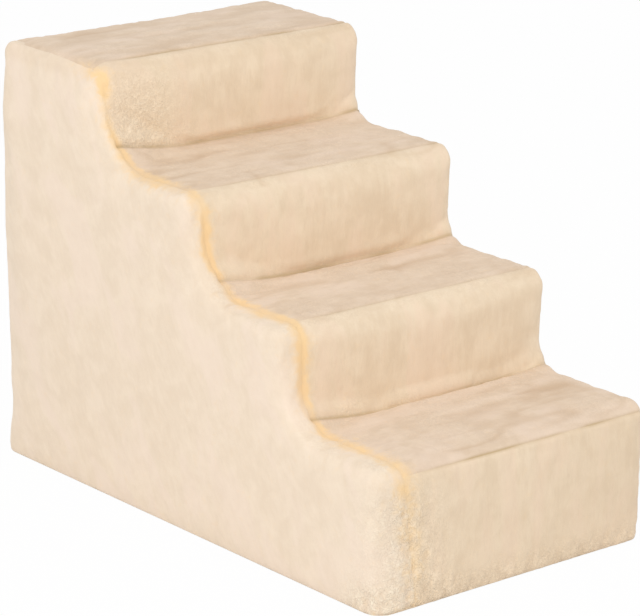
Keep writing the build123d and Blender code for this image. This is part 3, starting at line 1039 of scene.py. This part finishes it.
@dataclass
class ClothSurvey:
    """Every vertex of the cover: its place, how it faces and how far each kind of seam is.

    Lengths are in metres. The heights of waves, crinkles, pleats and nap are in millimetres.
    """

    sizes: StairSizes
    places: np.ndarray
    normals: np.ndarray
    gaps: dict[str, np.ndarray]
    nosing_by_step: tuple[float, ...] = (1.0, 0.4, 0.45, 1.1)
    warm_heights: tuple[float, ...] = (0, 0.12, 0.15, 0.5, 0.53)
    warm_by_height: tuple[float, ...] = (0.3, 0.45, 1, 1, 0.3)
    curl_middle: tuple[float, float] = (-0.145, 0.455)
    curl_reach: tuple[float, float] = (0.055, 0.06)

    def __post_init__(self) -> None:
        """Name the coordinates, and how much each vertex faces up and to the front."""
        self.x, self.y, self.z = self.places.T
        self.up = smooth_step(self.normals[:, 2], 0.6, 0.95)
        self.front = smooth_step(-self.normals[:, 1], 0.5, 0.95)

    def noise(self, lumps: Lumps) -> np.ndarray:
        """One of the noises, at every vertex."""
        return wool_noise(self.places, lumps)

    @cached_property
    def ridges(self) -> np.ndarray:
        """The folds of the treads, in metres."""
        ridges = np.zeros(len(self.places))
        feet = [*self.sizes.riser_y[1:], self.sizes.back_y]
        for fold in FOLDS:
            on_step = np.abs(self.z - self.sizes.tread_z[fold.step]) < 0.03
            ridges += fold.lift(self.x, feet[fold.step] - self.y) * on_step * self.up
        return ridges

    @cached_property
    def crinkles(self) -> np.ndarray:
        """Fine creases: across on the treads, upright on the risers."""
        across = self.noise(Lumps.TREAD_CRINKLES) * self.up
        return across + 0.5 * self.noise(Lumps.RISER_CRINKLES) * self.front

    @cached_property
    def pleats(self) -> np.ndarray:
        """Thin valleys in patches of the treads."""
        pleats = bump(self.noise(Lumps.PLEATS), 0.15) * self.up
        return pleats * np.clip(self.noise(Lumps.PLEAT_PATCHES) + 0.35, 0, 1)

    @cached_property
    def corner(self) -> np.ndarray:
        """Where the pile is long at the front left corner."""
        low_front = smooth_step(self.z, 0.175, 0.11) * smooth_step(self.y, -0.27, -0.33)
        return bump(self.gaps["left"], 0.045) * low_front

    @cached_property
    def hem(self) -> np.ndarray:
        """Where the pile is long along the front's lower edge."""
        return smooth_step(self.z, 0.045, 0.006) * smooth_step(self.y, -0.3, -0.34)

    @cached_property
    def fluff(self) -> np.ndarray:
        """How long and tangled the pile is: corner, hem, creases, top riser and treads."""
        tuft = bump(self.gaps["crease"], 0.02) * smooth_step(self.x, 0.12, -0.1)
        tuft = tuft * np.clip(0.6 + self.noise(Lumps.TUFTS), 0, 1)
        curl = bump(self.x - self.curl_middle[0], self.curl_reach[0])
        curl = curl * bump(self.z - self.curl_middle[1], self.curl_reach[1])
        curl = curl * self.front * (self.y > 0.1)
        tangle = np.clip(0.5 + 0.9 * self.noise(Lumps.TANGLES), 0, 1) * self.up
        return np.clip(self.corner + 0.8 * self.hem + 0.6 * tuft + curl + 0.5 * tangle, 0, 1)

    @cached_property
    def locks(self) -> np.ndarray:
        """Where strands of the long pile stand off, above 0, or part, below it."""
        strands = self.noise(Lumps.STRANDS)
        shifted = self.places + 0.003 * strands[:, None]
        strands = strands + 0.5 * wool_noise(shifted, Lumps.FINE_STRANDS)
        return np.clip(self.corner + self.hem, 0, 1) * strands

    @cached_property
    def nosing_show(self) -> np.ndarray:
        """How plainly the seam behind each nosing shows."""
        by_step = np.interp(self.z, self.sizes.tread_z, self.nosing_by_step)
        return by_step * smooth_step(self.gaps["left"], 0.01, 0.06)

    def crumpled(self) -> np.ndarray:
        """Place every vertex where folds, waves, nap and seam grooves put it."""
        shows = {"nosing": self.nosing_show}
        seams = sum(r.lift(self.gaps[kind], shows.get(kind, 1.0)) for kind, r in SEAM_RELIEFS.items())
        nearest = np.minimum.reduce([self.gaps[kind] for kind in SEAM_RELIEFS])
        loose = smooth_step(nearest, 0.0, 0.02)
        waves = 0.9 * self.noise(Lumps.WIDE_WAVES) + 0.6 * self.noise(Lumps.WAVES)
        nap = self.noise(Lumps.NAP) + 0.6 * self.noise(Lumps.FINE_NAP)
        lift = (waves + 0.6 * self.crinkles - 0.8 * self.pleats) * loose + seams
        lift += (0.16 + 0.6 * self.fluff) * nap + 1.5 * self.locks
        calm = smooth_step(self.gaps["mouth"], 0.006, 0.03) * smooth_step(self.z, 0.0005, 0.004)
        return self.places + self.normals * ((MILLIMETRE * lift + self.ridges) * calm)[:, None]

    def marks(self) -> dict[str, np.ndarray]:
        """What the plush reads for each vertex, by the attribute's name."""
        z, left = self.z, self.gaps["left"]
        shown = np.interp(z, self.warm_heights, self.warm_by_height)
        ends = sum(bump(z - top + 0.012, 0.022) for top in self.sizes.tread_z)
        reach = 0.0075 + 0.0035 * ends + 0.002 * self.noise(Lumps.WARM_WIDTH) + 0.012 * self.corner
        warm = 0.8 * bump(left / reach, 1) + 0.3 * bump(left / reach, 2)
        warm = warm * shown * smooth_step(self.y, 0.24, 0.19) * (0.85 + 0.45 * self.noise(Lumps.WARM_PATCHES))
        # Seam lines on the nosings, creases and side seams: the thread, with painted shade of the groove,
        # broken into dashes below.
        line = 0.8 * self.nosing_show * bump(self.gaps["nosing"], 0.0018)
        line += 0.75 * bump(self.gaps["crease"], 0.0021)
        line += 0.12 * bump(self.gaps["side"], 0.002) * smooth_step(z, 0.51, 0.49)
        patchy = np.clip(0.75 + 0.7 * self.noise(Lumps.THREAD_PATCHES), 0, 1)
        lowest_riser = (z < self.sizes.first_seam_z) * self.front
        # Painted shade in the dips of the pleats, folds and crinkles on the treads.
        painted_shade = 0.6 * self.pleats - 0.4 * self.ridges / MILLIMETRE - 0.3 * self.crinkles * self.up
        # The whole top tread made darker.
        painted_shade += 0.22 * smooth_step(z, 0.5, 0.51)
        # Painted shade on the lowest riser, deeper towards its right.
        painted_shade += (0.12 + 0.18 * smooth_step(self.x, 0.0, 0.2)) * lowest_riser
        shares = {"warm": warm, "fold": painted_shade, "seam_thread_and_shade": line * patchy}
        clipped = {name: np.clip(values, 0, 1) for name, values in shares.items()}
        return {"fluff": self.fluff, "lock": self.locks} | clipped


CLOTH_SETTINGS = {
    "quality": 4,
    "mass": 0.3,
    "tension_stiffness": 12,
    "compression_stiffness": 12,
    "shear_stiffness": 4,
    "bending_stiffness": 0.3,
    "use_pressure": True,
    "vertex_group_mass": "sewn",
    "shrink_min": -0.012,
}


@dataclass
class PlushCover:
    """The sewn cover: form, simulated cloth, folds and seams, then one piece for each panel."""

    sizes: StairSizes
    form: StairForm
    thickness: float = 3 * MILLIMETRE
    cloth_frames: int = 20
    cloth_cap: float = 4.5 * MILLIMETRE
    cloth_pressure: float = 4.0
    seam_inwards: tuple[float, ...] = (0.042, 0.020, 0.018, 0.004, -0.007)
    seam_reach: float = 0.07
    crease_shifts: tuple[tuple[float, float], ...] = ((0.010, 0.0), (0.0, 0.002), (0.0, 0.007))
    crease_reach: float = 0.03
    wrap: float = 6 * MILLIMETRE
    wrap_reach: float = 50 * MILLIMETRE
    pieces: dict[Part, bpy.types.Object] = field(default_factory=dict)

    def build(self) -> None:
        block = ClothLattice(self.sizes).build()
        self._slide_seams(block)
        opened = self.form.open_corners(points_of(block))
        move_points(block, self.form.settle(opened))
        self._wrap_right_edge(block)
        log.info("cover settled on its form with %d vertices", len(block.data.vertices))
        self._simulate(block)
        apply_modifier(block, "finer", "SUBSURF", levels=1, render_levels=1)
        self._crumple(block)
        self._part(block)

    def _slide_seams(self, block: bpy.types.Object) -> None:
        """Let the left seam wander inwards towards the floor, and the creases a little."""
        places = points_of(block)
        x, y, z = places.T
        sizes = self.sizes
        wander = np.interp(z, [0.0, *sizes.tread_z], self.seam_inwards)
        near = np.where(x < -sizes.seam_x, 1 + (x + sizes.seam_x) / (sizes.half_width - sizes.seam_x), 1)
        near = near * np.where(x > -sizes.seam_x, bump(x + sizes.seam_x, self.seam_reach), 1)
        shown = (y < sizes.back_y - 0.03) & (z > 0.002)
        shift = wander * near * shown
        for step, (forward, up) in enumerate(self.crease_shifts, start=1):
            gap = np.hypot(y - sizes.riser_y[step], z - sizes.tread_z[step - 1])
            close = bump(gap, self.crease_reach)
            places[:, 1] -= forward * close * bump(x - 0.02, 0.16)
            places[:, 2] += up * close
        places[:, 0] += shift
        move_points(block, places)

    def _wrap_right_edge(self, block: bpy.types.Object) -> None:
        """Pull the right seam round the edge on to the side, where it hardly shows."""
        places = points_of(block)
        sizes = self.sizes
        near = smooth_step(places[:, 0], sizes.half_width - self.wrap_reach, sizes.half_width)
        shown = (places[:, 1] < sizes.back_y - 0.01) & (places[:, 2] > 0.01)
        places[:, 0] += self.wrap * near * shown
        move_points(block, self.form.settle(places))

    def _sewn(self, block: bpy.types.Object) -> dict[str, np.ndarray]:
        """Find the numbers of the vertices on each kind of seam, by the panels that they touch."""
        mesh = block.data
        owners = np.repeat(
            numbers_of(mesh.polygons, "material_index"), numbers_of(mesh.polygons, "loop_total")
        )
        touched = np.zeros((len(mesh.vertices), len(Part)), dtype=bool)
        touched[numbers_of(mesh.loops, "vertex_index"), owners] = True
        seams = touched.sum(axis=1) > 1
        treads = touched[:, Part.TREAD_1 : Part.TREAD_4 + 1]
        risers = touched[:, Part.RISER_1 : Part.RISER_4 + 1]
        sides = touched[:, Part.LEFT_SIDE] | touched[:, Part.RIGHT_SIDE]
        mouth = touched[:, Part.OPENING]
        base = touched[:, Part.BASE]
        across = seams & ~sides & ~mouth & ~base
        crease = (treads[:, :-1] & risers[:, 1:]).any(axis=1)
        nosing = across & treads.any(axis=1) & risers.any(axis=1) & ~crease
        found = {
            "left": seams & touched[:, Part.LEFT_SIDE],
            "side": seams & sides & ~mouth,
            "crease": crease,
            "nosing": nosing,
            "hem": seams & (base | (across & ~crease & ~nosing)),
            "mouth": seams & mouth,
        }
        return {kind: np.flatnonzero(chosen) for kind, chosen in found.items()}

    def _simulate(self, block: bpy.types.Object) -> None:
        """Blow the cloth up between its sewn lines, and keep it near its form."""
        start = points_of(block)
        pinned = np.unique(np.concatenate(list(self._sewn(block).values())))
        flat_base = np.flatnonzero(start[:, 2] < 1 * MILLIMETRE)
        group = block.vertex_groups.new(name="sewn")
        group.add(np.union1d(pinned, flat_base).tolist(), 1.0, "REPLACE")
        choose(block)
        modifier = block.modifiers.new("stretch", "CLOTH")
        for name, value in CLOTH_SETTINGS.items():
            setattr(modifier.settings, name, value)
        modifier.settings.uniform_pressure_force = self.cloth_pressure
        modifier.settings.effector_weights.gravity = 0
        modifier.collision_settings.use_collision = False
        modifier.point_cache.frame_start = 1
        modifier.point_cache.frame_end = self.cloth_frames
        scene = bpy.context.scene
        for frame in range(1, self.cloth_frames + 1):
            scene.frame_set(frame)
        bpy.ops.object.modifier_apply(modifier=modifier.name)
        scene.frame_set(1)
        moved = points_of(block) - start
        length = np.linalg.norm(moved, axis=1)
        share = self.cloth_cap / (self.cloth_cap + length)
        move_points(block, start + moved * share[:, None])
        log.info("cloth moved %.1f mm at most before its cap", 1000 * length.max())

    @staticmethod
    def _gap(places: np.ndarray, seam: np.ndarray) -> np.ndarray:
        """Distance of every vertex from the nearest of some seam vertices."""
        tree = KDTree(len(seam))
        for number, vertex in enumerate(seam):
            tree.insert(places[vertex], number)
        tree.balance()
        return np.array([tree.find(place)[2] for place in places])

    def _crumple(self, block: bpy.types.Object) -> None:
        """Add folds, waves, nap and seam grooves, and store what the plush reads."""
        places = points_of(block)
        gaps = {kind: self._gap(places, seam) for kind, seam in self._sewn(block).items()}
        survey = ClothSurvey(self.sizes, places, rows_of(block.data.vertices, "normal"), gaps)
        move_points(block, survey.crumpled())
        for name, values in survey.marks().items():
            keep_values(block, name, values)

    def _part(self, block: bpy.types.Object) -> None:
        """Cut the cover along its seams, and give each panel its thickness and finish."""
        with editing(block):
            bpy.ops.mesh.separate(type="MATERIAL")
        finishes = {cloth: plush.material() for cloth, plush in PLUSH.items()}
        finishes[Cloth.BASE] = GRIP_CLOTH.material()
        for piece in list(bpy.context.selected_objects):
            part = Part(piece.data.attributes["part"].data[0].value)
            if part is Part.OPENING:
                bpy.data.objects.remove(piece)
                continue
            piece.name = f"{PART_NODES[part]}_cloth"
            piece.vertex_groups.clear()
            piece.data.attributes.remove(piece.data.attributes["part"])
            self.pieces[part] = piece
        for part, piece in sorted(self.pieces.items()):
            self._finish_panel(part, piece, finishes[cloth_of(part)])

    def _finish_panel(self, part: Part, piece: bpy.types.Object, finish: bpy.types.Material) -> None:
        area = sum(face.area for face in piece.data.polygons)
        piece.data.materials.clear()
        apply_modifier(piece, "pile", "SOLIDIFY", thickness=self.thickness, offset=-1.0)
        dress(piece, finish, cloth_of(part).value, crease=50)
        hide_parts(PART_NODES[part])
        width, length = self._cut(part, area)
        slabs = [f"foam_slab_{step + 1}" for step in self._backing(part)]
        log.info("%s cut from %.0f x %.0f mm", piece.name, 1000 * width, 1000 * length)

    @staticmethod
    def _backing(part: Part) -> list[int]:
        """Say which foam slabs a panel is stretched over."""
        if part in (Part.LEFT_SIDE, Part.RIGHT_SIDE, Part.BACK):
            return list(range(STEPS))
        if part in (Part.BACK_HEM, Part.BASE):
            return [0]
        return [(part - Part.TREAD_1) % STEPS]

    def _cut(self, part: Part, area: float) -> tuple[float, float]:
        """The width and length of the cloth that a panel with this outside area is cut from."""
        sizes = self.sizes
        if part in (Part.LEFT_SIDE, Part.RIGHT_SIDE):
            turned = 2 * (sizes.half_width - sizes.seam_x)
            return sizes.back_y - sizes.riser_y[0] + turned, sizes.tread_z[3] + turned
        width = 2 * sizes.seam_x
        return width, area / width


# Foam


@dataclass
class FoamCore:
    """Four slabs of foam, glued in a stack and squeezed a little by the cover."""

    sizes: StairSizes
    form: StairForm
    squeeze: float = 2 * MILLIMETRE
    nosing_radius: float = 16 * MILLIMETRE
    crown: float = 1.2 * MILLIMETRE
    depth: float = 7 * MILLIMETRE

    def build(self) -> None:
        """Make the four slabs."""
        foam = FOAM.material()
        for step in range(STEPS):
            slab = self._slab(step)
            dress(slab, foam, "foam", crease=35)
            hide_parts(f"foam_slab_{step + 1}")
            log.info("%s made", slab.name)

    def _slab(self, step: int) -> bpy.types.Object:
        """Cut one slab: a block whose front top edge is rounded, with drawn-in sides."""
        low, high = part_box(f"foam_slab_{step + 1}")
        low = low + Vector((self.squeeze, self.squeeze, 0))
        high = high - Vector((self.squeeze, self.squeeze, self.squeeze if step == STEPS - 1 else 0))
        deselect()
        bpy.ops.mesh.primitive_cube_add(size=1, location=(low + high) / 2, scale=high - low)
        slab = bpy.context.object
        slab.name = f"foam_slab_{step + 1}_cut"
        apply_place(slab)
        mesh = slab.data
        with editing(slab):
            bpy.ops.mesh.select_all(action="DESELECT")
        for edge in mesh.edges:
            ends = [mesh.vertices[number].co for number in edge.vertices]
            edge.select = all(end.y < low.y + MILLIMETRE and end.z > high.z - MILLIMETRE for end in ends)
        with editing(slab):
            bpy.ops.mesh.bevel(offset=self.nosing_radius, segments=6, affect="EDGES")
        apply_modifier(slab, "rounding", "BEVEL", width=2 * MILLIMETRE, segments=2, limit_method="ANGLE")
        apply_modifier(slab, "cells", "REMESH", mode="VOXEL", voxel_size=6 * MILLIMETRE)
        places = points_of(slab)
        normals = rows_of(slab.data.vertices, "normal")
        flat = np.abs(normals).max(axis=1) > 0.95
        middle = np.clip(1 - np.abs(places[:, 0]) / high.x, 0, 1) ** 0.5
        swell = self.crown * middle * flat * (np.abs(normals[:, 1]) > 0.5)
        swollen = places + normals * swell[:, None]
        sunk = self.form.settle(swollen, depth=self.depth)
        above_base = smooth_step(swollen[:, 2], 0.008, 0.03)
        sunk[:, 2] = swollen[:, 2] + (sunk[:, 2] - swollen[:, 2]) * above_base
        move_points(slab, sunk)
        return slab


# The underside


@dataclass
class GripDots:
    """Rows of small rubber domes under the stairs, printed on the base cloth."""

    sizes: StairSizes
    pitch: float = 12 * MILLIMETRE
    foot_radius: float = 2.2 * MILLIMETRE
    height: float = 0.8 * MILLIMETRE
    margin: float = 14 * MILLIMETRE

    def build(self) -> None:
        """Shape one dome and repeat it over the base."""
        reach_x = self.sizes.seam_x - self.margin
        reach_y = self.sizes.base_seam_y - self.margin
        deselect()
        bpy.ops.mesh.primitive_cone_add(
            vertices=10,
            radius1=0.55 * self.foot_radius,
            radius2=self.foot_radius,
            depth=self.height,
            location=(-reach_x, -reach_y, self.height / 2),
        )
        dots = bpy.context.object
        dots.name = "grip_dots"
        apply_place(dots)
        apply_modifier(dots, "rounding", "BEVEL", width=0.3 * MILLIMETRE, segments=1)
        for axis, reach in enumerate((reach_x, reach_y)):
            repeat_along(dots, axis, int(2 * reach / self.pitch) + 1, 2 * reach)
        dress(dots, GRIP_RUBBER.material(), "base_fabric", crease=40)
        log.info("grip_dots made with %d faces", len(dots.data.polygons))


# The zip


@dataclass
class ZipDressing:
    """Finishes for the zip's own nodes, and the two rows of stitches that hold its tapes."""

    sizes: StairSizes
    nodes: dict[str, bpy.types.Object]
    stitch_pitch: float = 3.6 * MILLIMETRE
    stitch_length: float = 2.9 * MILLIMETRE
    stitch_radius: float = 0.42 * MILLIMETRE
    stitch_margin: float = 4.2 * MILLIMETRE

    def build(self) -> None:
        """Dress the nodes and sew the tapes in."""
        finishes = {
            TAPE: ("tape_upper", "tape_lower"),
            PLASTIC: ("teeth_upper", "teeth_lower", "top_stops", "bottom_stop"),
            ZINC: ("slider", "pull_tab"),
        }
        for finish, names in finishes.items():
            material = finish.material()
            for name in names:
                self.nodes[f"zip_{name}"].material_slots[0].material = material
        thread = THREAD.material()
        heights = (self.sizes.zip_high + self.stitch_margin, self.sizes.zip_low - self.stitch_margin)
        for name, height in zip(("top_stitching_upper", "top_stitching_lower"), heights):
            dress(self._stitch_row(name, height), thread, "zip_tape", crease=60)
            log.info("%s made", name)

    def _stitch_row(self, name: str, height: float) -> bpy.types.Object:
        """Sew one row: a flattened loop of thread, repeated across the back.

        Args:
            name: The piece's name.
            height: How far above the floor the row runs.

        Returns:
            The row of stitches.
        """
        reach = self.sizes.seam_x - self.stitch_pitch
        deselect()
        bpy.ops.mesh.primitive_cylinder_add(
            vertices=8,
            radius=self.stitch_radius,
            depth=self.stitch_length,
            location=(-reach, self.sizes.back_y, height),
            rotation=(0, math.pi / 2, 0),
        )
        row = bpy.context.object
        row.name = name
        apply_place(row)
        places = points_of(row)
        ends = np.abs(places[:, 0] + reach) > 0.4 * self.stitch_length
        places[:, 1] -= np.where(ends, self.stitch_radius, 0)
        places[:, 2] += np.where(places[:, 0] > -reach, 0.2, -0.2) * self.stitch_radius
        move_points(row, places)
        apply_modifier(row, "rounding", "BEVEL", width=0.2 * MILLIMETRE, segments=1)
        repeat_along(row, 0, int(2 * reach / self.stitch_pitch) + 1, 2 * reach)
        return row


# The studio


def show_data(data: bpy.types.Camera | bpy.types.Light) -> bpy.types.Object:
    """Add the object of a camera or a lamp to the scene."""
    made = bpy.data.objects.new(data.name, data)
    bpy.context.scene.collection.objects.link(made)
    return made


@dataclass(frozen=True)
class PhotoCamera:
    """The camera's place, worked out from the photograph's edges."""

    eye: Triple = (-2.4527, -2.9199, 1.4073)
    azimuth: float = math.radians(-40.114)
    elevation: float = math.radians(17.092)
    roll: float = math.radians(0.809)
    focal_pixels: float = 3355.94
    picture_width: float = 640.0
    sensor_width: float = 36.0

    def build(self) -> None:
        """Add the camera and make it the scene's."""
        data = bpy.data.cameras.new("photo_camera")
        data.sensor_width = self.sensor_width
        data.lens = self.sensor_width * self.focal_pixels / self.picture_width
        camera = show_data(data)
        place = Matrix.Translation(self.eye)
        turns = ((self.azimuth, "Z"), (math.pi / 2 - self.elevation, "X"), (self.roll, "Z"))
        for angle, axis in turns:
            place = place @ Matrix.Rotation(angle, 4, axis)
        camera.matrix_world = place
        bpy.context.scene.camera = camera


@dataclass
class Studio:
    """A pale floor, a soft sky and two large lamps."""

    sky: float = 0.74
    key_place: Triple = (-2.6, -1.7, 2.6)
    key_power: float = 55.0
    fill_place: Triple = (2.8, -2.4, 1.8)
    fill_power: float = 14.0
    lamp_size: float = 2.6
    lamp_target: Triple = (0, 0, 0.2)
    floor_size: float = 12.0
    floor_colour: Colour = (0.86, 0.86, 0.86)
    glow_share: float = 0.97

    def build(self) -> None:
        """Make the floor, the sky and the lamps."""
        self._floor()
        self._sky()
        self._lamp("key_lamp", self.key_place, self.key_power)
        self._lamp("fill_lamp", self.fill_place, self.fill_power)
        bpy.context.scene.view_settings.view_transform = "Standard"

    def _lamp(self, name: str, place: Triple, power: float) -> None:
        """Add one square lamp that faces the stairs."""
        data = bpy.data.lights.new(name, "AREA")
        data.size = self.lamp_size
        data.energy = power
        lamp = show_data(data)
        lamp.location = place
        lamp.rotation_mode = "QUATERNION"
        lamp.rotation_quaternion = (Vector(self.lamp_target) - Vector(place)).to_track_quat("-Z", "Y")

    def _floor(self) -> None:
        """Lay a floor that shows white, with the stairs' shadow on it."""
        deselect()
        bpy.ops.mesh.primitive_plane_add(size=self.floor_size, location=(0, 0, 0))
        floor = bpy.context.object
        floor.name = "studio_floor"
        paint = Paint(bpy.data.materials.new("studio_floor"))
        lit = paint.node("ShaderNodeBsdfDiffuse", sockets={"Color": (*self.floor_colour, 1)})
        glow = paint.node("ShaderNodeEmission", sockets={"Color": (1, 1, 1, 1), "Strength": 1.0})
        sockets = {0: self.glow_share * self._seen(paint), 1: lit, 2: glow}
        floor.data.materials.append(paint.finish(paint.node("ShaderNodeMixShader", sockets=sockets)))

    @staticmethod
    def _seen(paint: Paint) -> Value:
        """1 where the camera looks, straight or by way of gloss or glass."""
        names = ("Is Camera Ray", "Is Glossy Ray", "Is Transmission Ray")
        return sum(paint.node("ShaderNodeLightPath", output=name) for name in names).math("MINIMUM", 1.0)

    def _sky(self) -> None:
        """Light the scene evenly, and show white behind it."""
        paint = Paint(bpy.data.worlds.new("studio_sky"))
        strength = self.sky + (1 - self.sky) * self._seen(paint)
        sockets = {"Color": (1, 1, 1, 1), "Strength": strength}
        bpy.context.scene.world = paint.finish(paint.node("ShaderNodeBackground", sockets=sockets))


def main() -> None:
    """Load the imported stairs, dress them and light them."""
    logging.basicConfig(level=logging.INFO, format="%(name)s: %(message)s")
    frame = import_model()
    PhotoCamera().build()
    sizes = StairSizes.from_frame()
    form = StairForm(sizes)
    PlushCover(sizes, form).build()
    FoamCore(sizes, form).build()
    GripDots(sizes).build()
    ZipDressing(sizes, frame["nodes"]).build()
    Studio().build()
    deselect()


if __name__ == "__main__":
    main()
